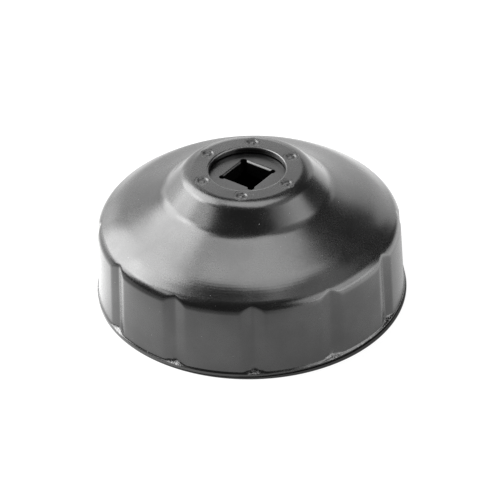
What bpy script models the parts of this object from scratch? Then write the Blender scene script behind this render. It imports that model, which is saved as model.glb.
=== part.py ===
"""Cup-type oil filter wrench: a fluted sheet-steel cup with a square-drive plate spot-welded under its crown.

The origin is the centre of the open rim, on the cup's axis, and +Z points from the rim to the crown.
"""

import math

import bmesh
import bpy

MM = 0.001
FULL_TURN = 2 * math.pi

# Clearance kept between pieces that are pressed together.
GAP = 0.3 * MM

# The cup. A corner is its radius from the axis, its height above the rim and its rounding.
SHEET = 1.5 * MM
CROWN_HEIGHT = 36.6 * MM
CROWN_HOLE_RADIUS = 10.0 * MM
CROWN_HOLE_ROUNDING = 0.45 * MM
CROWN_CORNER = (16.03 * MM, CROWN_HEIGHT, 4.45 * MM)
BOSS_FOOT = (21.8 * MM, 30.25 * MM, 6.6 * MM)
BOSS_APRON = (26.8 * MM, 27.76 * MM, 73.0 * MM)
DOME_BREAK = (34.4 * MM, 24.56 * MM, 20.5 * MM)
SHOULDER_CORNER = (39.69 * MM, 20.69 * MM, 4.1 * MM)
WALL_FOOT_RADIUS = 40.55 * MM
WALL_FOOT_HEIGHT = 2.05 * MM

# The lip that flares out round the open rim.
LIP_RADIUS = 41.0 * MM
LIP_THICKNESS = 1.05 * MM
FLARE_CORNER_HEIGHT = 1.45 * MM
FLARE_ROUNDING = 0.9 * MM
LIP_ROUNDING = 0.25 * MM
MOUTH_CHAMFER = 0.4 * MM
MOUTH_ROUNDING = 0.5 * MM

# The flutes: shallow V grooves pressed into the wall, which form the grip's ribs inside.
FLUTE_COUNT = 12
FLUTE_DEPTH = 0.8 * MM
FLUTE_SLOPE = math.radians(15)
FLUTE_ROUNDING = 2.0 * MM
FLUTE_HALF_WIDTH = FLUTE_DEPTH / math.tan(FLUTE_SLOPE) + 2 * FLUTE_ROUNDING * math.tan(FLUTE_SLOPE / 2)
FLUTE_BLEND = 0.5 * MM

# The cup's facets: steps round the axis, drawn together at each flute by this share of their spacing.
CUP_STEPS = 8 * FLUTE_COUNT
STEP_CROWDING = 0.5
ARC_TOLERANCE = 0.05 * MM

# The drive plate, a blanked disc with a square hole for a 3/8 inch drive.
PLATE_THICKNESS = 4.0 * MM
PLATE_RADIUS = 15.1 * MM
PLATE_ROUNDING = 0.9 * MM
PLATE_TOP = CROWN_HEIGHT - SHEET - GAP
PLATE_OUTLINE_POINTS = 60
SQUARE_ACROSS_FLATS = 9.6 * MM
SQUARE_TURN = math.radians(7.3)
RELIEF_RADIUS = 0.9 * MM
RELIEF_TIP = 7.38 * MM
RELIEF_SEGMENTS = 8

# The spot welds, which pass through the crown into blind pockets in the plate.
WELD_COUNT = 6
WELD_PITCH_RADIUS = 12.5 * MM
WELD_TURN = math.radians(-7.6)
WELD_RADIUS = 1.85 * MM
WELD_DEPTH = 0.8 * MM
DIMPLE_RADIUS = 1.5 * MM
DIMPLE_DEPTH = 0.35 * MM
WELD_ROUNDING = 0.12 * MM
WELD_STEPS = 24
CUTTER_HEADROOM = 1.0 * MM


def clear_scene():
    for old in list(bpy.data.objects):
        bpy.data.objects.remove(old, do_unlink=True)


def new_collection(name):
    collection = bpy.data.collections.new(name)
    bpy.context.scene.collection.children.link(collection)
    return collection


def steel(name, colour, roughness):
    material = bpy.data.materials.new(name)
    material.use_nodes = True
    shader = material.node_tree.nodes["Principled BSDF"]
    shader.inputs["Base Color"].default_value = (*colour, 1.0)
    shader.inputs["Roughness"].default_value = roughness
    shader.inputs["Metallic"].default_value = 0.9
    return material


def place(name, data, collection, parent, material=None):
    piece = bpy.data.objects.new(name, data)
    collection.objects.link(piece)
    piece.parent = parent
    if material and not data.materials:
        data.materials.append(material)
    return piece


def radial(radius, turn, height):
    """A point at this radius, turned from -Y towards +X."""
    return (radius * math.sin(turn), -radius * math.cos(turn), height)


def rounded(corners):
    """A path of (radius, height) points, with an arc of its own rounding at each inner corner."""
    path = [corners[0][:2]]
    for before, corner, after in zip(corners, corners[1:], corners[2:]):
        rounding = corner[2]
        to_before = direction(corner, before)
        to_after = direction(corner, after)
        between = math.acos(to_before[0] * to_after[0] + to_before[1] * to_after[1])
        back = rounding / math.tan(between / 2)
        start = (corner[0] + back * to_before[0], corner[1] + back * to_before[1])
        end = (corner[0] + back * to_after[0], corner[1] + back * to_after[1])
        middle = direction((0, 0), (to_before[0] + to_after[0], to_before[1] + to_after[1]))
        reach = rounding / math.sin(between / 2)
        centre = (corner[0] + reach * middle[0], corner[1] + reach * middle[1])
        first = math.atan2(start[1] - centre[1], start[0] - centre[0])
        last = math.atan2(end[1] - centre[1], end[0] - centre[0])
        sweep = (last - first + math.pi) % FULL_TURN - math.pi
        widest_step = 2 * math.acos(1 - min(ARC_TOLERANCE / rounding, 1))
        segments = max(1, math.ceil(abs(sweep) / widest_step))
        for i in range(segments + 1):
            angle = first + sweep * i / segments
            path.append((centre[0] + rounding * math.cos(angle), centre[1] + rounding * math.sin(angle)))
    path.append(corners[-1][:2])
    return path


def direction(start, end):
    length = math.hypot(end[0] - start[0], end[1] - start[1])
    return ((end[0] - start[0]) / length, (end[1] - start[1]) / length)


def offset_inward(corners, distance):
    """The same corners moved inward by this distance, with roundings that keep the sheet's thickness."""
    moved = []
    for before, corner, after in zip(corners, corners[1:], corners[2:]):
        arriving = direction(before, corner)
        leaving = direction(corner, after)
        turn = arriving[0] * leaving[1] - arriving[1] * leaving[0]
        cosine = arriving[0] * leaving[0] + arriving[1] * leaving[1]
        # Inward is to the right of a path that runs down the outside.
        normal = (arriving[1] + leaving[1], -arriving[0] - leaving[0])
        scale = distance / (1 + cosine)
        rounding = corner[2] - distance if turn < 0 else corner[2] + distance
        moved.append((corner[0] + normal[0] * scale, corner[1] + normal[1] * scale, rounding))
    return moved


def wall_radius(height):
    """The outer wall's radius, which grows steadily towards the rim."""
    draft = (WALL_FOOT_RADIUS - SHOULDER_CORNER[0]) / (SHOULDER_CORNER[1] - WALL_FOOT_HEIGHT)
    return WALL_FOOT_RADIUS + draft * (WALL_FOOT_HEIGHT - height)


def cup_profile():
    """The closed section of the cup, as (radius, height, depth under the outer skin, share of the flute)."""
    skin = [
        (CROWN_HOLE_RADIUS, CROWN_HEIGHT, CROWN_HOLE_ROUNDING),
        CROWN_CORNER,
        BOSS_FOOT,
        BOSS_APRON,
        DOME_BREAK,
        SHOULDER_CORNER,
        (wall_radius(FLARE_CORNER_HEIGHT), FLARE_CORNER_HEIGHT, FLARE_ROUNDING),
    ]
    outer = rounded(
        [(CROWN_HOLE_RADIUS, CROWN_HEIGHT - SHEET)]
        + skin
        + [(LIP_RADIUS, LIP_THICKNESS, LIP_ROUNDING), (LIP_RADIUS, 0, LIP_ROUNDING), (WALL_FOOT_RADIUS, 0)]
    )
    inner_mouth = wall_radius(0) - SHEET
    inner = rounded(
        [(CROWN_HOLE_RADIUS, CROWN_HEIGHT - SHEET)]
        + offset_inward(skin, SHEET)
        + [(inner_mouth, MOUTH_CHAMFER, MOUTH_ROUNDING), (inner_mouth + MOUTH_CHAMFER, 0)]
    )
    section = []
    for radius, height in outer[1:-1]:
        above_lip = (height - LIP_THICKNESS) / (WALL_FOOT_HEIGHT - LIP_THICKNESS)
        section.append((radius, height, 0, min(max(above_lip, 0), 1)))
    for radius, height in reversed(inner):
        section.append((radius, height, SHEET, 1))
    return section


def flute_depth(aside, layer):
    """The flute's depth this far to the side of its middle, on the skin or on the layer this deep under it."""
    valley = FLUTE_ROUNDING + layer
    brow = FLUTE_ROUNDING - layer
    to_edge = FLUTE_HALF_WIDTH - aside
    if to_edge <= 0:
        return 0
    if aside < valley * math.sin(FLUTE_SLOPE):
        return FLUTE_DEPTH - valley + math.sqrt(valley**2 - aside**2)
    if to_edge < brow * math.sin(FLUTE_SLOPE):
        return brow - math.sqrt(brow**2 - to_edge**2)
    return brow * (1 - math.cos(FLUTE_SLOPE)) + (to_edge - brow * math.sin(FLUTE_SLOPE)) * math.tan(FLUTE_SLOPE)


def flute_radius(radius, height, turn, layer):
    """Where a point of the skin, or of the layer this deep under it, lies once the flutes are pressed in."""
    pitch = FULL_TURN / FLUTE_COUNT
    off_flute = abs((turn + pitch / 2) % pitch - pitch / 2)
    wall = wall_radius(height) - layer
    depth = flute_depth(off_flute * wall, layer)
    if depth == 0:
        return radius
    pressed = wall - depth
    blend = FLUTE_BLEND * depth / FLUTE_DEPTH
    nearness = max(blend - abs(radius - pressed), 0)
    return min(radius, pressed) - nearness**2 / (4 * blend)


def turned(name, section, steps, collection, parent):
    """An object whose Screw modifier turns this section round Z."""
    mesh = bpy.data.meshes.new(name)
    points = [(point[0], 0, point[1]) for point in section]
    closed = section[0][0] > 0
    edges = [(i, i + 1) for i in range(len(points) - 1)]
    if closed:
        edges.append((len(points) - 1, 0))
    mesh.from_pydata(points, edges, [])
    piece = place(name, mesh, collection, parent)
    screw = piece.modifiers.new("turn", "SCREW")
    screw.axis = "Z"
    screw.angle = FULL_TURN
    screw.steps = steps
    screw.render_steps = steps
    screw.use_merge_vertices = True
    screw.merge_threshold = 0.00001
    screw.use_smooth_shade = True
    return piece


def solid_mesh(piece, name):
    """The evaluated mesh of an object that is then removed."""
    bpy.context.view_layer.update()
    evaluated = piece.evaluated_get(bpy.context.evaluated_depsgraph_get())
    mesh = bpy.data.meshes.new_from_object(evaluated)
    mesh.name = name
    old_data = piece.data
    bpy.data.objects.remove(piece, do_unlink=True)
    if isinstance(old_data, bpy.types.Curve):
        bpy.data.curves.remove(old_data)
    return mesh


def press_flutes(mesh):
    """Crowd the turned cup's vertices towards the flutes, and pull them in to the grooves."""
    layers = mesh.attributes["layer"].data
    shares = mesh.attributes["flute_share"].data
    for vertex, layer, share in zip(mesh.vertices, layers, shares):
        x, y, height = vertex.co
        radius = math.hypot(x, y)
        turn = math.atan2(x, -y)
        turn -= STEP_CROWDING / FLUTE_COUNT * math.sin(FLUTE_COUNT * turn)
        pressed = flute_radius(radius, height, turn, layer.value)
        vertex.co = radial(radius + share.value * (pressed - radius), turn, height)


def cup_shell(collection, parent, material):
    section = cup_profile()
    blank = turned("cup_blank", section, CUP_STEPS, collection, parent)
    for name, column in (("layer", 2), ("flute_share", 3)):
        values = blank.data.attributes.new(name, "FLOAT", "POINT")
        values.data.foreach_set("value", [point[column] for point in section])
    mesh = solid_mesh(blank, "cup_shell")
    press_flutes(mesh)
    return place("cup_shell", mesh, collection, parent, material)


def drive_hole_outline():
    """The square hole, with a round relief cut into each corner."""
    half = SQUARE_ACROSS_FLATS / 2
    centre = (RELIEF_TIP - RELIEF_RADIUS) / math.sqrt(2)
    meets_flat = math.acos((half - centre) / RELIEF_RADIUS)
    sweep = math.pi / 2 + 2 * meets_flat
    outline = []
    for corner in range(4):
        for i in range(RELIEF_SEGMENTS + 1):
            angle = -meets_flat + sweep * i / RELIEF_SEGMENTS
            x = centre + RELIEF_RADIUS * math.cos(angle)
            y = centre + RELIEF_RADIUS * math.sin(angle)
            turn = corner * math.pi / 2
            outline.append((x * math.cos(turn) - y * math.sin(turn), x * math.sin(turn) + y * math.cos(turn)))
    return outline


def plate_outline():
    steps = [FULL_TURN * i / PLATE_OUTLINE_POINTS for i in range(PLATE_OUTLINE_POINTS)]
    return [(PLATE_RADIUS * math.cos(step), PLATE_RADIUS * math.sin(step)) for step in steps]


def drive_plate(collection, parent, material):
    outline = bpy.data.curves.new("plate_outline", "CURVE")
    outline.dimensions = "2D"
    outline.fill_mode = "BOTH"
    outline.extrude = PLATE_THICKNESS / 2 - PLATE_ROUNDING
    outline.bevel_depth = PLATE_ROUNDING
    outline.bevel_resolution = 1
    outline.offset = -PLATE_ROUNDING
    for points in (plate_outline(), drive_hole_outline()):
        spline = outline.splines.new("POLY")
        spline.points.add(len(points) - 1)
        spline.points.foreach_set("co", [value for x, y in points for value in (x, y, 0, 1)])
        spline.use_cyclic_u = True
    mesh = solid_mesh(place("plate_outline", outline, collection, parent), "drive_plate")
    weld_caps(mesh)
    plate = place("drive_plate", mesh, collection, parent, material)
    plate.location.z = PLATE_TOP - PLATE_THICKNESS / 2
    # The outline's corners lie at 45 degrees, and the first one is turned round to face -Y.
    plate.rotation_euler.z = SQUARE_TURN + math.pi / 4
    return plate


def weld_caps(mesh):
    """Join a filled curve's caps to its sides."""
    shape = bmesh.new()
    shape.from_mesh(mesh)
    bmesh.ops.remove_doubles(shape, verts=shape.verts, dist=0.00001)
    shape.to_mesh(mesh)
    shape.free()


def weld_section():
    """Half the section of one weld: a dished head flush with the crown, and a plain shank."""
    height = SHEET + GAP + WELD_DEPTH
    dish_steps = 4
    dish = []
    for i in range(dish_steps + 1):
        share = i / dish_steps
        dish.append((DIMPLE_RADIUS * share, height - DIMPLE_DEPTH * (1 - share**2)))
    edge = [
        (WELD_RADIUS - WELD_ROUNDING, height),
        (WELD_RADIUS, height - WELD_ROUNDING),
        (WELD_RADIUS, 0),
        (0, 0),
    ]
    return dish + edge


def weld_places():
    return [WELD_TURN + FULL_TURN * i / WELD_COUNT for i in range(WELD_COUNT)]


def spot_welds(collection, parent, material):
    mesh = solid_mesh(turned("weld_blank", weld_section(), WELD_STEPS, collection, parent), "spot_weld")
    base = CROWN_HEIGHT - SHEET - GAP - WELD_DEPTH
    for number, turn in enumerate(weld_places(), start=1):
        weld = place(f"spot_weld_{number}", mesh, collection, parent, material)
        weld.location = radial(WELD_PITCH_RADIUS, turn, base)
        weld.rotation_euler.z = turn


def weld_pockets(targets, collection, parent):
    """Cut a clear hole for each weld through the crown and partway into the plate."""
    floor = CROWN_HEIGHT - SHEET - 2 * GAP - WELD_DEPTH
    top = CROWN_HEIGHT + CUTTER_HEADROOM
    for number, turn in enumerate(weld_places(), start=1):
        bpy.ops.mesh.primitive_cylinder_add(
            vertices=WELD_STEPS,
            radius=WELD_RADIUS + GAP,
            depth=top - floor,
            location=radial(WELD_PITCH_RADIUS, turn, (top + floor) / 2),
            rotation=(0, 0, turn),
        )
        cutter = bpy.context.active_object
        cutter.name = f"weld_pocket_{number}"
        cutter.parent = parent
        cutter.hide_render = True
        cutter.display_type = "WIRE"
        for other in list(cutter.users_collection):
            other.objects.unlink(cutter)
        collection.objects.link(cutter)
        for target in targets:
            cut = target.modifiers.new(cutter.name, "BOOLEAN")
            cut.operation = "DIFFERENCE"
            cut.solver = "EXACT"
            cut.object = cutter


def main():
    clear_scene()
    parts = new_collection("oil_filter_wrench")
    cutters = new_collection("cutters")
    origin = place("rim_centre", None, parts, None)
    black_steel = steel("black_finished_steel", (0.035, 0.035, 0.036), 0.38)
    plate_steel = steel("blanked_plate_steel", (0.06, 0.06, 0.06), 0.45)
    weld_steel = steel("weld_nugget_steel", (0.05, 0.05, 0.05), 0.5)
    shell = cup_shell(parts, origin, black_steel)
    plate = drive_plate(parts, origin, plate_steel)
    spot_welds(parts, origin, weld_steel)
    weld_pockets((shell, plate), cutters, origin)


main()
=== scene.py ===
import math

import bmesh
import bpy
from mathutils import Matrix, Vector, noise


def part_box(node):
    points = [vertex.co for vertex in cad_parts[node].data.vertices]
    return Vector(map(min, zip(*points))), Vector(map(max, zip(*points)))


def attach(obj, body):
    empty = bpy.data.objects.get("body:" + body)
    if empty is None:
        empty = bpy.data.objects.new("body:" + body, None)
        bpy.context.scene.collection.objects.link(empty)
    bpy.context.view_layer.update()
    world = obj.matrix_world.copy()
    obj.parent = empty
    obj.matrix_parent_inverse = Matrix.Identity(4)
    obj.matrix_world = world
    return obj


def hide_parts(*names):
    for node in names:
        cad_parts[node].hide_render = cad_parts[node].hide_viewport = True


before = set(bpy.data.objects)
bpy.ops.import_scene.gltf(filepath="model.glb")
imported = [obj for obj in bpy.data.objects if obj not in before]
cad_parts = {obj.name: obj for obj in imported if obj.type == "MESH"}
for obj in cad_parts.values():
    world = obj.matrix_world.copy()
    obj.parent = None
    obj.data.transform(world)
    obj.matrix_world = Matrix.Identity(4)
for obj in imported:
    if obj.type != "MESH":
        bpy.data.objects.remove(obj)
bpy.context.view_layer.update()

MM = 0.001
FULL_TURN = 2 * math.pi

_, SHELL_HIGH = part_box("cup_shell")
PLATE_LOW, PLATE_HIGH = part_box("drive_plate")
LIP_RADIUS = SHELL_HIGH.x
CROWN_HEIGHT = SHELL_HIGH.z
SHEET = 1.5 * MM

# The cup's outer skin: each corner is its radius, its height above the rim and its rounding.
CROWN_HOLE_RADIUS = 10.0 * MM
CROWN_HOLE_ROUNDING = 0.45 * MM
CROWN_CORNER = (16.03 * MM, CROWN_HEIGHT, 4.45 * MM)
BOSS_FOOT = (21.8 * MM, 30.25 * MM, 6.6 * MM)
BOSS_APRON = (26.8 * MM, 27.76 * MM, 73.0 * MM)
DOME_BREAK = (34.4 * MM, 24.56 * MM, 20.5 * MM)
SHOULDER_CORNER = (39.69 * MM, 20.69 * MM, 4.1 * MM)
WALL_FOOT_RADIUS = 40.55 * MM
WALL_FOOT_HEIGHT = 2.05 * MM
LIP_THICKNESS = 1.05 * MM
FLARE_CORNER_HEIGHT = 1.45 * MM
FLARE_ROUNDING = 0.9 * MM
LIP_ROUNDING = 0.25 * MM
MOUTH_CHAMFER = 0.4 * MM
MOUTH_ROUNDING = 0.5 * MM

# The flutes, which are shallow V grooves with rounded edges.
FLUTE_COUNT = 12
FLUTE_DEPTH = 0.8 * MM
FLUTE_SLOPE = math.radians(15)
FLUTE_ROUNDING = 2.0 * MM
FLUTE_HALF_WIDTH = FLUTE_DEPTH / math.tan(FLUTE_SLOPE) + 2 * FLUTE_ROUNDING * math.tan(FLUTE_SLOPE / 2)
FLUTE_BLEND = 0.5 * MM

# How finely the shapes are drawn. The cup's steps are drawn together at each flute.
CUP_STEPS = 40 * FLUTE_COUNT
STEP_CROWDING = 0.5
PLATE_STEPS = 192
WELD_STEPS = 48
WELD_FACE_STEPS = 30
WELD_ARC_STEPS = 5
PLATE_ARC_STEPS = 6
ROLL_ARC_STEPS = 12
RELIEF_STEPS = 20
FLAT_STEPS = 16
ARC_TOLERANCE = 0.004 * MM
SUPPORT_GAP = 0.12 * MM
LONGEST_STRAIGHT = 1.6 * MM
SHARP_EDGE = math.radians(40)
CUTTER_EXCESS = 1.0 * MM

# The plate's square hole. Its upper edge is rolled, and the roll is shifted towards the hole's worn side.
SQUARE_ACROSS_FLATS = 9.6 * MM
SQUARE_TURN = math.radians(7.3)
HOLE_ROLL_WIDTH = 0.5 * MM
HOLE_ROLL_SHIFT = 0.45 * MM
HOLE_ROLL_DROP = 0.55 * MM
HOLE_ROLL_START = (-0.5, 2 * HOLE_ROLL_DROP)
PLATE_EDGE_ROUNDING = 0.5 * MM
RELIEF_RADIUS = 0.9 * MM
RELIEF_TIP = 7.38 * MM

# The weld heads on the crown, each a bowl with a low nugget in it.
WELD_NAMES = sorted(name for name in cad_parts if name.startswith("spot_weld"))
WELD_HOLE_RADIUS = 2.0 * MM
WELD_RADIUS = 1.98 * MM
WELD_ROUNDING = 0.03 * MM
BOWL_RADIUS = 1.5 * MM
BOWL_RADIUS_SPREAD = 0.15 * MM
BOWL_FLOOR_SHARE = 0.7
BOWL_DEPTH = 0.3 * MM
BOWL_DEPTH_SPREAD = 0.08 * MM
BOWL_DRIFT = 0.15 * MM
BOWL_WARP = 0.18 * MM
BOWL_WARP_SIZE = 1.1 * MM
NUGGET_RADIUS = 0.7 * MM
NUGGET_HEIGHT = 0.16 * MM
WELD_GRIT_SIZE = 0.5 * MM
WELD_GRIT_HEIGHT = 0.05 * MM
FACE_TOLERANCE = 0.01 * MM

# The finish: satin black, faintly mottled, with fine grain and a little dust.
STEEL_TONE = 0.1
STEEL_ROUGHNESS = 0.25
PLATE_EXTRA_ROUGHNESS = 0.05
WELD_EXTRA_ROUGHNESS = 0.1
WELD_GRAIN = 2
GRAIN_SIZE = 0.45 * MM
GRAIN_HEIGHT = 0.006 * MM
GRAIN_ROUGHNESS = 0.15
MOTTLE_SIZE = 9.0 * MM
MOTTLE_RANGE = (0.3, 0.7)
MOTTLE_TONE = (0.92, 1.08)
MOTTLE_ROUGHNESS = 0.02
NOISE_DETAIL = 3.0
DUST_SPACING = 1.3 * MM
DUST_RADIUS = 0.09 * MM
DUST_SHARE = 0.25
DUST_SOFTNESS = 0.02
DUST_TONE = 0.3

# The worn chips at the flutes' feet, and the paler, rougher lines along the lip and round the crown's hole.
# Each pair is where a patch begins and where it is full.
CHIP_SIZE = 0.4 * MM
CHIP_SHARE = (0.5, 0.58)
FOOT_WEAR_SPAN = (0.75, 0.97)
FOOT_WEAR_END = (2.0 * MM, 1.5 * MM)
ABOVE_LIP_START = (0.75 * MM, 1.0 * MM)
PALE_LIP_LINE_TOP = (1.25 * MM, 1.1 * MM)
PALE_LIP_LINE_SIDE = (6.0 * MM, 16.0 * MM)
PALE_LIP_LINE = 0.6
OUTSIDE_START = (WALL_FOOT_RADIUS - 1.4 * MM, WALL_FOOT_RADIUS - MM)
LINE_BREAK_SIZE = 0.8 * MM
LINE_BREAK_DETAIL = 4.0
LINE_BREAK_SHARE = (0.52, 0.62)
PALE_RIM = 0.5
PALE_RIM_WIDTH = 0.4 * MM
PALE_PATCH_TONE = 0.24
PALE_PATCH_ROUGHNESS = 0.45

# Small unevenness of the trimmed lip, and of its top where the flutes end.
TRIM_WAVE_LENGTH = 3.0 * MM
TRIM_WAVE = 0.08 * MM
BURR_LENGTH = 0.6 * MM
BURR_HEIGHT = 0.07 * MM
BURR_SPAN = (0.5 * FLUTE_HALF_WIDTH, 1.2 * FLUTE_HALF_WIDTH)

# The camera.
CAMERA_PLACE = Vector((0, -0.56796, 0.41423))
CAMERA_AIM = Vector((-0.0000385, 0, 0.010728))
CAMERA_ROLL = math.radians(-2.2)
CAMERA_LENS_MM = 189.93
CAMERA_SENSOR_MM = 36
CAMERA_NEAR = 0.05
CAMERA_FAR = 50

# The light table. Each row of its glow: turn from the front in degrees, glow near the cup, glow further out.
TABLE_RADIUS = 6.0
TABLE_STEPS = 96
TABLE_GLOW = (
    (0, 0.56, 0.0), (30, 0.6, 0.6), (60, 0.72, 1.6), (90, 0.72, 2.0), (110, 0.7, 1.6), (135, 0.9, 1.5),
    (160, 0.85, 1.4), (172, 0.7, 0.7), (190, 0.7, 0.45), (203, 0.9, 1.1), (218, 1.3, 1.2), (238, 1.9, 0.9),
    (254, 2.1, 0.9), (266, 2.1, 0.8), (275, 2.0, 0.3), (292, 1.3, 0.0), (325, 0.86, 0.0), (360, 0.56, 0.0),
)
TABLE_GLOW_PEAK = 5.0
TABLE_FADE = (0.058, 0.095)
TABLE_WHITE = 0.85
TABLE_TONE = 0.25
# The contact shadow is painted on the table, not cast: a dark band beside the lip, at most this wide and
# widest at this turn, with this soft edge and this tone.
CONTACT_SHADOW = 0.95 * MM
CONTACT_SHADOW_TURN = math.radians(33)
CONTACT_SHADOW_EDGE = 0.2 * MM
CONTACT_SHADOW_TONE = 0.045

# The dim room and the soft lights: each one's turn, height, breadth and rise in degrees, and its power.
ROOM_LIGHT = 0.09
LIGHT_DISTANCE = 1.2
LIGHT_AIM_HEIGHT = 0.02
SOFTBOXES = {
    "left_key": (244, 39, 42.5, 52, 17.93),
    "back_left_bank": (211.5, 22, 67, 43, 6.45),
    "right_low_bank": (65, 21, 60, 38, 6.65),
    "overhead": (152, 84, 42.5, 35, 6.19),
    "back_strip": (162.5, 14.5, 52.5, 28, 3.31),
    "right_bank": (70, 42, 39, 45, 1.62),
    "right_card": (80, 6, 70, 10, 2.4),
    "left_strip": (273.5, 37, 42, 12, 2.3),
    "back_left_strip": (228, 8, 36, 16, 0.93),
}


def direction(start, end):
    length = math.hypot(end[0] - start[0], end[1] - start[1])
    return ((end[0] - start[0]) / length, (end[1] - start[1]) / length)


def rounded(corners):
    """A path of (radius, height) points, with an arc of its own rounding at each inner corner."""
    path = [corners[0][:2]]
    for before, corner, after in zip(corners, corners[1:], corners[2:]):
        rounding = corner[2]
        to_before = direction(corner, before)
        to_after = direction(corner, after)
        between = math.acos(to_before[0] * to_after[0] + to_before[1] * to_after[1])
        back = rounding / math.tan(between / 2)
        start = (corner[0] + back * to_before[0], corner[1] + back * to_before[1])
        end = (corner[0] + back * to_after[0], corner[1] + back * to_after[1])
        middle = direction((0, 0), (to_before[0] + to_after[0], to_before[1] + to_after[1]))
        reach = rounding / math.sin(between / 2)
        centre = (corner[0] + reach * middle[0], corner[1] + reach * middle[1])
        first = math.atan2(start[1] - centre[1], start[0] - centre[0])
        last = math.atan2(end[1] - centre[1], end[0] - centre[0])
        sweep = (last - first + math.pi) % FULL_TURN - math.pi
        widest_step = 2 * math.acos(1 - min(ARC_TOLERANCE / rounding, 1))
        segments = max(2, math.ceil(abs(sweep) / widest_step))
        for i in range(segments + 1):
            angle = first + sweep * i / segments
            path.append((centre[0] + rounding * math.cos(angle), centre[1] + rounding * math.sin(angle)))
    path.append(corners[-1][:2])
    return path


def supported(path):
    """The same path with points close to the ends of each straight stretch, and others along it."""
    filled = [path[0]]
    for start, end in zip(path, path[1:]):
        length = math.hypot(end[0] - start[0], end[1] - start[1])
        along = []
        if length > 4 * SUPPORT_GAP:
            middle = length - 2 * SUPPORT_GAP
            pieces = max(1, math.ceil(middle / LONGEST_STRAIGHT))
            along = [SUPPORT_GAP + middle * i / pieces for i in range(pieces + 1)]
        for distance in along:
            share = distance / length
            filled.append((start[0] + share * (end[0] - start[0]), start[1] + share * (end[1] - start[1])))
        filled.append(end)
    return filled


def offset_inward(corners, distance):
    """The same corners moved inward by this distance, with roundings that keep the sheet's thickness."""
    moved = []
    for before, corner, after in zip(corners, corners[1:], corners[2:]):
        arriving = direction(before, corner)
        leaving = direction(corner, after)
        turn = arriving[0] * leaving[1] - arriving[1] * leaving[0]
        cosine = arriving[0] * leaving[0] + arriving[1] * leaving[1]
        normal = (arriving[1] + leaving[1], -arriving[0] - leaving[0])
        scale = distance / (1 + cosine)
        rounding = corner[2] - distance if turn < 0 else corner[2] + distance
        moved.append((corner[0] + normal[0] * scale, corner[1] + normal[1] * scale, rounding))
    return moved


def wall_radius(height):
    """The outer wall's radius, which grows steadily towards the rim."""
    draft = (WALL_FOOT_RADIUS - SHOULDER_CORNER[0]) / (SHOULDER_CORNER[1] - WALL_FOOT_HEIGHT)
    return WALL_FOOT_RADIUS + draft * (WALL_FOOT_HEIGHT - height)


def cup_profile():
    """The closed section of the cup, as (radius, height, depth under the outer skin, share of the flute)."""
    skin = [
        (CROWN_HOLE_RADIUS, CROWN_HEIGHT, CROWN_HOLE_ROUNDING),
        CROWN_CORNER,
        BOSS_FOOT,
        BOSS_APRON,
        DOME_BREAK,
        SHOULDER_CORNER,
        (wall_radius(FLARE_CORNER_HEIGHT), FLARE_CORNER_HEIGHT, FLARE_ROUNDING),
    ]
    hole_foot = (CROWN_HOLE_RADIUS, CROWN_HEIGHT - SHEET)
    lip = [(LIP_RADIUS, LIP_THICKNESS, LIP_ROUNDING), (LIP_RADIUS, 0, LIP_ROUNDING), (WALL_FOOT_RADIUS, 0)]
    outer = supported(rounded([hole_foot] + skin + lip))
    inner_mouth = wall_radius(0) - SHEET
    mouth = [(inner_mouth, MOUTH_CHAMFER, MOUTH_ROUNDING), (inner_mouth + MOUTH_CHAMFER, 0)]
    inner = supported(rounded([hole_foot] + offset_inward(skin, SHEET) + mouth))
    section = []
    for radius, height in outer[1:-1]:
        above_lip = (height - LIP_THICKNESS) / (WALL_FOOT_HEIGHT - LIP_THICKNESS)
        section.append((radius, height, 0, min(max(above_lip, 0), 1)))
    for radius, height in reversed(inner):
        section.append((radius, height, SHEET, 1))
    return section


def flute_depth(aside, layer):
    """The flute's depth this far to the side of its middle, on the layer this deep under the skin."""
    valley = FLUTE_ROUNDING + layer
    brow = FLUTE_ROUNDING - layer
    to_edge = FLUTE_HALF_WIDTH - aside
    if to_edge <= 0:
        return 0
    if aside < valley * math.sin(FLUTE_SLOPE):
        return FLUTE_DEPTH - valley + math.sqrt(valley**2 - aside**2)
    if to_edge < brow * math.sin(FLUTE_SLOPE):
        return brow - math.sqrt(brow**2 - to_edge**2)
    straight = to_edge - brow * math.sin(FLUTE_SLOPE)
    return brow * (1 - math.cos(FLUTE_SLOPE)) + straight * math.tan(FLUTE_SLOPE)


def off_flute(turn):
    """How far this turn is from the middle of the nearest flute."""
    pitch = FULL_TURN / FLUTE_COUNT
    return abs((turn + pitch / 2) % pitch - pitch / 2)


def flute_radius(radius, height, turn, layer):
    """Where a point of the layer this deep under the skin lies once the flutes are pressed in."""
    wall = wall_radius(height) - layer
    depth = flute_depth(off_flute(turn) * wall, layer)
    if depth == 0:
        return radius
    pressed = wall - depth
    blend = FLUTE_BLEND * depth / FLUTE_DEPTH
    nearness = max(blend - abs(radius - pressed), 0)
    return min(radius, pressed) - nearness**2 / (4 * blend)


def radial(radius, turn, height):
    """A point at this radius, turned from -Y towards +X."""
    return (radius * math.sin(turn), -radius * math.cos(turn), height)


def new_object(name, data):
    piece = bpy.data.objects.new(name, data)
    bpy.context.scene.collection.objects.link(piece)
    return piece


def lathe(name, section, steps, place):
    """A closed mesh: the section's points carried round the axis, each put where place() says."""
    shape = bmesh.new()
    rings = []
    for step in range(steps):
        turn = FULL_TURN * step / steps
        rings.append([shape.verts.new(place(point, turn)) for point in section])
    join_rings(shape, rings)
    mesh = bpy.data.meshes.new(name)
    shape.to_mesh(mesh)
    shape.free()
    mesh.shade_smooth()
    return new_object(name, mesh)


def join_rings(shape, rings):
    """Skin the closed rings, each to the next and the last to the first."""
    count = len(rings[0])
    for this, following in zip(rings, rings[1:] + rings[:1]):
        for i in range(count):
            j = (i + 1) % count
            shape.faces.new((this[i], this[j], following[j], following[i]))
    bmesh.ops.recalc_face_normals(shape, faces=shape.faces)


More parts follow.
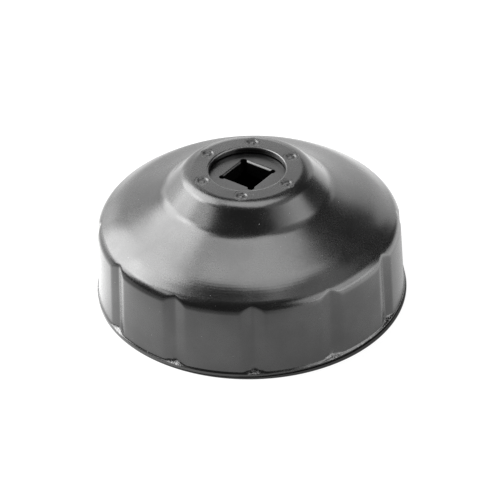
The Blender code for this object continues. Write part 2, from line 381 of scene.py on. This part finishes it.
def cup_point(point, turn):
    radius, height, layer, share = point
    turn -= STEP_CROWDING / FLUTE_COUNT * math.sin(FLUTE_COUNT * turn)
    pressed = flute_radius(radius, height, turn, layer)
    radius += share * (pressed - radius)
    if layer == 0 and height < WALL_FOOT_HEIGHT:
        radius, height = uneven_lip(radius, height, turn)
    return radial(radius, turn, height)


def uneven_lip(radius, height, turn):
    """The lip's trimmed edge wanders inward a little, and its top is bruised where a flute ends."""
    around = Vector(radial(LIP_RADIUS, turn, 0))
    wave = 0.5 + 0.5 * noise.noise(around / TRIM_WAVE_LENGTH)
    burr = noise.noise(Vector(radial(radius, turn, height)) / BURR_LENGTH)
    at_edge = smooth_step(WALL_FOOT_RADIUS, LIP_RADIUS, radius)
    on_top = smooth_step(LIP_THICKNESS / 2, LIP_THICKNESS, height)
    at_flute = 1 - smooth_step(*BURR_SPAN, off_flute(turn) * radius)
    return radius - TRIM_WAVE * wave * at_edge, height + BURR_HEIGHT * burr * on_top * at_flute


def smooth_step(start, end, value):
    share = min(max((value - start) / (end - start), 0), 1)
    return share * share * (3 - 2 * share)


def cup_skin(material):
    cup = lathe("cup_blank", cup_profile(), CUP_STEPS, cup_point)
    mesh = cut_mesh(cup, [weld_cutter(name) for name in WELD_NAMES], "cup_body")
    body = new_object("cup_body", mesh)
    finish_piece(body, material, ["cup_shell"])
    return body


def cut_mesh(blank, cutters, name):
    """The blank's mesh with every cutter taken out of it."""
    for cutter in cutters:
        cut = blank.modifiers.new(cutter.name, "BOOLEAN")
        cut.operation = "DIFFERENCE"
        cut.solver = "EXACT"
        cut.object = cutter
    bpy.context.view_layer.update()
    mesh = bpy.data.meshes.new_from_object(blank.evaluated_get(bpy.context.evaluated_depsgraph_get()))
    mesh.name = name
    mesh.shade_smooth()
    for used in [blank] + cutters:
        bpy.data.objects.remove(used, do_unlink=True)
    return mesh


def weld_centre(name):
    low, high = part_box(name)
    return Vector(((low.x + high.x) / 2, (low.y + high.y) / 2, 0))


def quarter_arc(steps):
    """The sine and cosine of each of these even steps through a right angle."""
    angles = [math.pi / 2 * i / steps for i in range(steps + 1)]
    return [(math.sin(angle), math.cos(angle)) for angle in angles]


def weld_cutter(name):
    """A turned cutter that flares where it leaves the crown, so the hole has a rolled edge."""
    flare = WELD_ROUNDING
    top = CROWN_HEIGHT
    foot = top - SHEET - CUTTER_EXCESS
    section = [(0, top + CUTTER_EXCESS), (WELD_HOLE_RADIUS + flare, top + CUTTER_EXCESS)]
    for sine, cosine in quarter_arc(WELD_ARC_STEPS):
        section.append((WELD_HOLE_RADIUS + flare * (1 - sine), top - flare * (1 - cosine)))
    section += [(WELD_HOLE_RADIUS, foot), (0, foot)]
    return turned("hole_" + name, section, WELD_STEPS, weld_centre(name))


def turned(name, section, steps, centre):
    """A solid turned from a section that starts and ends on the axis."""
    shape = bmesh.new()
    top = shape.verts.new((centre.x, centre.y, section[0][1]))
    foot = shape.verts.new((centre.x, centre.y, section[-1][1]))
    rings = []
    for step in range(steps):
        x, y, _ = radial(1, FULL_TURN * step / steps, 0)
        ring = [shape.verts.new((centre.x + r * x, centre.y + r * y, z)) for r, z in section[1:-1]]
        rings.append(ring)
    for this, following in zip(rings, rings[1:] + rings[:1]):
        shape.faces.new((top, this[0], following[0]))
        shape.faces.new((foot, following[-1], this[-1]))
        for i in range(len(this) - 1):
            shape.faces.new((this[i], this[i + 1], following[i + 1], following[i]))
    mesh = bpy.data.meshes.new(name)
    shape.to_mesh(mesh)
    shape.free()
    mesh.shade_smooth()
    return new_object(name, mesh)


def weld_dip(offset, centre):
    """How far the weld's face lies under the crown at this offset: a warped bowl with a low nugget in it."""
    character = noise.noise_vector(centre / MM)
    bowl_radius = BOWL_RADIUS + BOWL_RADIUS_SPREAD * character.z
    depth = BOWL_DEPTH + BOWL_DEPTH_SPREAD * character.x
    warp = noise.noise_vector((centre + offset) / BOWL_WARP_SIZE)
    radius = (offset - BOWL_DRIFT * character.xy.to_3d() - BOWL_WARP * warp.xy.to_3d()).length
    bowl = depth * (1 - smooth_step(BOWL_FLOOR_SHARE * bowl_radius, bowl_radius, radius))
    nugget = NUGGET_HEIGHT * (1 - smooth_step(0, NUGGET_RADIUS, radius))
    grit = WELD_GRIT_HEIGHT * noise.noise((centre + offset) / WELD_GRIT_SIZE)
    inside = 1 - smooth_step(bowl_radius, WELD_RADIUS - WELD_ROUNDING, offset.length)
    return max((bowl - nugget + grit) * inside, 0)


def weld_head(name, material):
    low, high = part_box(name)
    centre = weld_centre(name)
    face = WELD_RADIUS - WELD_ROUNDING
    section = [(face * i / WELD_FACE_STEPS, high.z) for i in range(WELD_FACE_STEPS)]
    for sine, cosine in quarter_arc(WELD_ARC_STEPS):
        section.append((face + WELD_ROUNDING * sine, high.z - WELD_ROUNDING * (1 - cosine)))
    section += [(WELD_RADIUS, low.z), (0, low.z)]
    head = turned(name + "_head", section, WELD_STEPS, centre)
    for vertex in head.data.vertices:
        if vertex.co.z >= high.z - FACE_TOLERANCE:
            offset = Vector((vertex.co.x - centre.x, vertex.co.y - centre.y, 0))
            vertex.co.z -= weld_dip(offset, centre)
    finish_piece(head, material, [name])
    return head


def drive_hole_outline():
    """The square hole, with a round relief cut into each corner."""
    half = SQUARE_ACROSS_FLATS / 2
    centre = (RELIEF_TIP - RELIEF_RADIUS) / math.sqrt(2)
    meets_flat = math.acos((half - centre) / RELIEF_RADIUS)
    sweep = math.pi / 2 + 2 * meets_flat
    outline = []
    for corner in range(4):
        turn = Matrix.Rotation(SQUARE_TURN + (corner + 0.5) * math.pi / 2, 2)
        relief = []
        for i in range(RELIEF_STEPS + 1):
            angle = -meets_flat + sweep * i / RELIEF_STEPS
            across = centre + RELIEF_RADIUS * math.cos(angle)
            along = centre + RELIEF_RADIUS * math.sin(angle)
            relief.append(Vector((across, along)))
        end = relief[-1].x
        flat = [Vector((end - 2 * end * i / FLAT_STEPS, half)) for i in range(1, FLAT_STEPS)]
        outline += [turn @ point for point in relief + flat]
    return outline


def loft(name, rings):
    """A closed solid through these rings of points, capped at both ends."""
    shape = bmesh.new()
    skins = [[shape.verts.new(point) for point in ring] for ring in rings]
    count = len(skins[0])
    for this, following in zip(skins, skins[1:]):
        for i in range(count):
            j = (i + 1) % count
            shape.faces.new((this[i], this[j], following[j], following[i]))
    shape.faces.new(reversed(skins[0]))
    shape.faces.new(skins[-1])
    bmesh.ops.recalc_face_normals(shape, faces=shape.faces)
    mesh = bpy.data.meshes.new(name)
    shape.to_mesh(mesh)
    shape.free()
    return new_object(name, mesh)


def hole_roll():
    """A cutter for the square hole's rolled upper edge, which is widest on the side towards +X +Y."""
    half = SQUARE_ACROSS_FLATS / 2
    top = PLATE_HIGH.z
    turn = Matrix.Rotation(SQUARE_TURN + math.pi / 4, 4, "Z")
    spread, drop = HOLE_ROLL_START
    levels = [(spread, top - drop)]
    for sine, cosine in quarter_arc(ROLL_ARC_STEPS):
        levels.append((1 - cosine, top - HOLE_ROLL_DROP * (1 - sine)))
    levels.append((1, top + CUTTER_EXCESS))
    rings = []
    for spread, height in levels:
        reach = half + spread * HOLE_ROLL_WIDTH
        shift = max(spread, 0) * HOLE_ROLL_SHIFT
        near = shift - reach
        far = shift + reach
        corners = [(near, -reach), (far, -reach), (far, reach), (near, reach)]
        rings.append([turn @ Vector((x, y, height)) for x, y in corners])
    return loft("hole_roll", rings)


def plate_face(material):
    top = PLATE_HIGH.z
    foot = PLATE_LOW.z
    flat_radius = PLATE_HIGH.x - PLATE_EDGE_ROUNDING
    section = [(0, top)]
    for height, facing_up in ((top, 1), (foot, -1)):
        arc = []
        for sine, cosine in quarter_arc(PLATE_ARC_STEPS):
            drop = facing_up * PLATE_EDGE_ROUNDING * (1 - cosine)
            arc.append((flat_radius + PLATE_EDGE_ROUNDING * sine, height - drop))
        section += arc[::facing_up]
    section.append((0, foot))
    disc = turned("plate_disc", section, PLATE_STEPS, Vector())
    rings = []
    for level in (foot - CUTTER_EXCESS, top + CUTTER_EXCESS):
        rings.append([(point.x, point.y, level) for point in drive_hole_outline()])
    mesh = cut_mesh(disc, [loft("plate_hole", rings), hole_roll()], "drive_plate_face")
    mesh.set_sharp_from_angle(angle=SHARP_EDGE)
    plate = new_object("drive_plate_face", mesh)
    finish_piece(plate, material, ["drive_plate"])
    return plate


def finish_piece(piece, material, nodes):
    """Give the piece its material and even shading, and tie it to the frame."""
    piece.data.materials.clear()
    piece.data.materials.append(material)
    even = piece.modifiers.new("even_shading", "WEIGHTED_NORMAL")
    even.keep_sharp = True
    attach(piece, "root")
    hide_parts(*nodes)


def add_node(tree, kind, inputs=None, **settings):
    """A shader node with these settings, each input given a value or linked to a socket."""
    made = tree.nodes.new("ShaderNode" + kind)
    for name, value in settings.items():
        setattr(made, name, value)
    for name, value in (inputs or {}).items():
        if isinstance(value, bpy.types.NodeSocket):
            tree.links.new(value, made.inputs[name])
        else:
            made.inputs[name].default_value = value
    return made


def maths(tree, operation, *values):
    """The result of a Math node on these values or sockets."""
    return add_node(tree, "Math", dict(enumerate(values)), operation=operation).outputs[0]


def ramp(tree, value, start, end, low=0.0, high=1.0):
    """Low until the value reaches start, high from end on, and smooth between them."""
    inputs = {"Value": value, "From Min": start, "From Max": end, "To Min": low, "To Max": high}
    return add_node(tree, "MapRange", inputs, interpolation_type="SMOOTHSTEP").outputs["Result"]


def noise_fac(tree, where, size, detail=NOISE_DETAIL):
    inputs = {"Vector": where, "Scale": 1 / size, "Detail": detail}
    return add_node(tree, "TexNoise", inputs).outputs["Fac"]


def mix(tree, share, first, second):
    """A blend of two values."""
    span = maths(tree, "SUBTRACT", second, first)
    return maths(tree, "MULTIPLY_ADD", share, span, first)


def product(tree, *factors):
    result = factors[0]
    for factor in factors[1:]:
        result = maths(tree, "MULTIPLY", result, factor)
    return result


def position(tree):
    """The surface's own coordinates, and its distance from the cup's axis."""
    where = add_node(tree, "TexCoord").outputs["Object"]
    x, y, z = add_node(tree, "SeparateXYZ", {"Vector": where}).outputs
    square = maths(tree, "ADD", product(tree, x, x), product(tree, y, y))
    radius = maths(tree, "SQRT", square)
    return where, x, y, z, radius


def turn_from_front(tree, x, y):
    """The turn from -Y towards +X, in radians from minus pi to pi."""
    return maths(tree, "ARCTAN2", x, product(tree, y, -1.0))


def facing(tree, x, y, turn):
    """The cosine of the angle between a point's direction from the axis and this turn."""
    outward = add_node(tree, "CombineXYZ", {"X": x, "Y": y}).outputs["Vector"]
    unit = add_node(tree, "VectorMath", {0: outward}, operation="NORMALIZE").outputs["Vector"]
    aimed = add_node(tree, "VectorMath", {0: unit, 1: radial(1, turn, 0)}, operation="DOT_PRODUCT")
    return aimed.outputs["Value"]


def dust(tree, where):
    """Sparse pale specks: a small dot in some cells of a Voronoi pattern."""
    cells = add_node(tree, "TexVoronoi", {"Vector": where, "Scale": 1 / DUST_SPACING}, feature="F1")
    chosen = add_node(tree, "SeparateColor", {"Color": cells.outputs["Color"]})
    reach = ramp(tree, chosen.outputs[0], 1 - DUST_SHARE, 1.0, 0.0, DUST_RADIUS / DUST_SPACING)
    return ramp(tree, maths(tree, "SUBTRACT", cells.outputs["Distance"], reach), DUST_SOFTNESS, 0.0)


def scuffs_and_pale_lines(tree, where, x, y, z, radius):
    """Where the finish is worn at each flute's foot, and where it is paler and rougher along the lip's top
    on the +X side and round the rim of the crown's hole.
    """
    around = product(tree, turn_from_front(tree, x, y), float(FLUTE_COUNT))
    at_flute = ramp(tree, maths(tree, "COSINE", around), *FOOT_WEAR_SPAN)
    outside = ramp(tree, radius, *OUTSIDE_START)
    above_edge = ramp(tree, z, *ABOVE_LIP_START)
    chips = ramp(tree, noise_fac(tree, where, CHIP_SIZE), *CHIP_SHARE)
    feet = product(tree, ramp(tree, z, *FOOT_WEAR_END), above_edge, at_flute, chips)
    line_breaks = ramp(tree, noise_fac(tree, where, LINE_BREAK_SIZE, LINE_BREAK_DETAIL), *LINE_BREAK_SHARE)
    # The lip's top is paler and rougher on the +X side only, broken up by noise.
    one_side = ramp(tree, x, *PALE_LIP_LINE_SIDE)
    pale_lip_line = product(tree, ramp(tree, z, *PALE_LIP_LINE_TOP), above_edge, one_side, line_breaks, PALE_LIP_LINE)
    low = product(tree, maths(tree, "MAXIMUM", feet, pale_lip_line), outside)
    # A paler, rougher band of this width runs all round the rim of the crown's hole.
    near_hole = ramp(tree, radius, CROWN_HOLE_RADIUS + PALE_RIM_WIDTH, CROWN_HOLE_RADIUS)
    on_crown = ramp(tree, z, CROWN_HEIGHT - 2 * PALE_RIM_WIDTH, CROWN_HEIGHT - PALE_RIM_WIDTH)
    return maths(tree, "MAXIMUM", low, product(tree, near_hole, on_crown, PALE_RIM))


def black_steel(name, extra_roughness=0.0, grain=1, worn=False):
    """Black-finished steel, a satin metal. A worn piece also has chips at the flutes' feet, and paler,
    rougher lines along the lip and round the crown's hole.
    """
    material = bpy.data.materials.new(name)
    material.use_nodes = True
    tree = material.node_tree
    shader = tree.nodes["Principled BSDF"]
    where, x, y, z, radius = position(tree)
    mottling = noise_fac(tree, where, MOTTLE_SIZE)
    fine = noise_fac(tree, where, GRAIN_SIZE)
    specks = dust(tree, where)
    roughness = STEEL_ROUGHNESS + extra_roughness
    darkest, palest = MOTTLE_TONE
    colour = ramp(tree, mottling, *MOTTLE_RANGE, STEEL_TONE * darkest, STEEL_TONE * palest)
    rough = ramp(tree, mottling, *MOTTLE_RANGE, roughness - MOTTLE_ROUGHNESS, roughness + MOTTLE_ROUGHNESS)
    rough = maths(tree, "MULTIPLY_ADD", maths(tree, "SUBTRACT", fine, 0.5), GRAIN_ROUGHNESS, rough)
    height = fine
    if worn:
        pale_patches = scuffs_and_pale_lines(tree, where, x, y, z, radius)
        colour = mix(tree, pale_patches, colour, PALE_PATCH_TONE)
        rough = mix(tree, pale_patches, rough, PALE_PATCH_ROUGHNESS)
        height = maths(tree, "SUBTRACT", fine, pale_patches)
    colour = mix(tree, specks, colour, DUST_TONE)
    tree.links.new(grey(tree, colour), shader.inputs["Base Color"])
    tree.links.new(maths(tree, "SUBTRACT", 1.0, specks), shader.inputs["Metallic"])
    tree.links.new(rough, shader.inputs["Roughness"])
    bump = add_node(tree, "Bump", {"Height": height, "Distance": grain * GRAIN_HEIGHT, "Strength": 1.0})
    tree.links.new(bump.outputs["Normal"], shader.inputs["Normal"])
    return material


def grey(tree, tone):
    return add_node(tree, "CombineColor", {0: tone, 1: tone, 2: tone}).outputs["Color"]


def camera():
    """The camera stands in front of the cup and looks down at it, tilted a little about its own axis."""
    forward = (CAMERA_AIM - CAMERA_PLACE).normalized()
    right = forward.cross(Vector((0, 0, 1))).normalized()
    up = right.cross(forward)
    tilted_right = right * math.cos(CAMERA_ROLL) + up * math.sin(CAMERA_ROLL)
    tilted_up = up * math.cos(CAMERA_ROLL) - right * math.sin(CAMERA_ROLL)
    data = bpy.data.cameras.new("camera")
    data.lens = CAMERA_LENS_MM
    data.sensor_width = CAMERA_SENSOR_MM
    data.clip_start = CAMERA_NEAR
    data.clip_end = CAMERA_FAR
    eye = new_object("camera", data)
    axes = Matrix((tilted_right, tilted_up, -forward)).transposed().to_4x4()
    eye.matrix_world = Matrix.Translation(CAMERA_PLACE) @ axes
    bpy.context.scene.camera = eye


def stage():
    """A white light table with the cup on it."""
    mesh = bpy.data.meshes.new("floor")
    shape = bmesh.new()
    bmesh.ops.create_circle(shape, cap_ends=True, segments=TABLE_STEPS, radius=TABLE_RADIUS)
    shape.to_mesh(mesh)
    shape.free()
    mesh.materials.append(light_table())
    new_object("floor", mesh)


def light_table():
    """It glows, and is painted dark under the cup and in a painted contact shadow beside the lip. The camera
    itself sees it as plain white apart from that painted shade.
    """
    material = bpy.data.materials.new("light_table")
    material.use_nodes = True
    tree = material.node_tree
    shader = tree.nodes["Principled BSDF"]
    shader.inputs["Roughness"].default_value = 1.0
    shader.inputs["Specular IOR Level"].default_value = 0.0
    shader.inputs["Emission Color"].default_value = (1, 1, 1, 1)
    _, x, y, _, radius = position(tree)
    outward = ramp(tree, radius, *TABLE_FADE)
    near, far = glow_by_direction(tree, x, y)
    glow = product(tree, mix(tree, outward, near, far), TABLE_GLOW_PEAK)
    # Painted shade: clear is 0 under the cup and in a painted contact shadow outside the lip, widest towards
    # CONTACT_SHADOW_TURN. There it darkens the glow, the colour and what the camera sees.
    shaded_side = maths(tree, "MAXIMUM", facing(tree, x, y, CONTACT_SHADOW_TURN), 0.0)
    reach = product(tree, maths(tree, "POWER", shaded_side, 2.0), CONTACT_SHADOW)
    beyond = maths(tree, "SUBTRACT", radius, reach)
    clear = ramp(tree, beyond, LIP_RADIUS - CONTACT_SHADOW_EDGE, LIP_RADIUS)
    seen = add_node(tree, "LightPath").outputs["Is Camera Ray"]
    white = mix(tree, clear, CONTACT_SHADOW_TONE, mix(tree, outward, TABLE_WHITE, 1.0))
    brightness = mix(tree, seen, product(tree, clear, glow), white)
    tree.links.new(brightness, shader.inputs["Emission Strength"])
    tree.links.new(grey(tree, product(tree, clear, TABLE_TONE)), shader.inputs["Base Color"])
    return material


def glow_by_direction(tree, x, y):
    """The table's glow near the cup and further out in a point's direction, as shares of its peak."""
    share = maths(tree, "FRACT", maths(tree, "DIVIDE", turn_from_front(tree, x, y), FULL_TURN))
    round_table = add_node(tree, "ValToRGB", {"Fac": share})
    stops = round_table.color_ramp.elements
    for degrees, _, _ in TABLE_GLOW[1:-1]:
        stops.new(degrees / 360)
    for stop, (_, near, far) in zip(stops, TABLE_GLOW):
        stop.color = (near / TABLE_GLOW_PEAK, far / TABLE_GLOW_PEAK, 0, 1)
    levels = add_node(tree, "SeparateColor", {"Color": round_table.outputs["Color"]}).outputs
    return levels[0], levels[1]


def softbox(name, turn, height, breadth, rise, power):
    """A soft light that faces the cup. Its place and size are angles in degrees, seen from the cup."""
    data = bpy.data.lights.new(name, "AREA")
    data.shape = "RECTANGLE"
    data.size = 2 * LIGHT_DISTANCE * math.tan(math.radians(breadth / 2))
    data.size_y = 2 * LIGHT_DISTANCE * math.tan(math.radians(rise / 2))
    data.energy = power
    lamp = new_object(name, data)
    up = math.radians(height)
    centre = Vector((0, 0, LIGHT_AIM_HEIGHT))
    lamp.location = centre + LIGHT_DISTANCE * Vector(radial(math.cos(up), math.radians(turn), math.sin(up)))
    lamp.rotation_euler = (centre - lamp.location).to_track_quat("-Z", "Y").to_euler()
    lamp.visible_camera = False


def surroundings():
    """A dim room for the steel to reflect, which the camera itself sees as a white backdrop."""
    world = bpy.data.worlds.new("studio")
    world.use_nodes = True
    tree = world.node_tree
    room = tree.nodes["Background"]
    room.inputs["Color"].default_value = (1, 1, 1, 1)
    room.inputs["Strength"].default_value = ROOM_LIGHT
    backdrop = add_node(tree, "Background", {"Color": (1, 1, 1, 1)}).outputs["Background"]
    seen = add_node(tree, "LightPath").outputs["Is Camera Ray"]
    choice = add_node(tree, "MixShader", {"Fac": seen, 1: room.outputs["Background"], 2: backdrop})
    tree.links.new(choice.outputs["Shader"], tree.nodes["World Output"].inputs["Surface"])
    bpy.context.scene.world = world


camera()
stage()
for light, settings in SOFTBOXES.items():
    softbox(light, *settings)
surroundings()
cup_skin(black_steel("black_cup_steel", worn=True))
plate_face(black_steel("black_plate_steel", PLATE_EXTRA_ROUGHNESS))
weld_steel = black_steel("black_weld_steel", WELD_EXTRA_ROUGHNESS, WELD_GRAIN)
for weld in WELD_NAMES:
    weld_head(weld, weld_steel)
bpy.context.scene.view_settings.view_transform = "Standard"
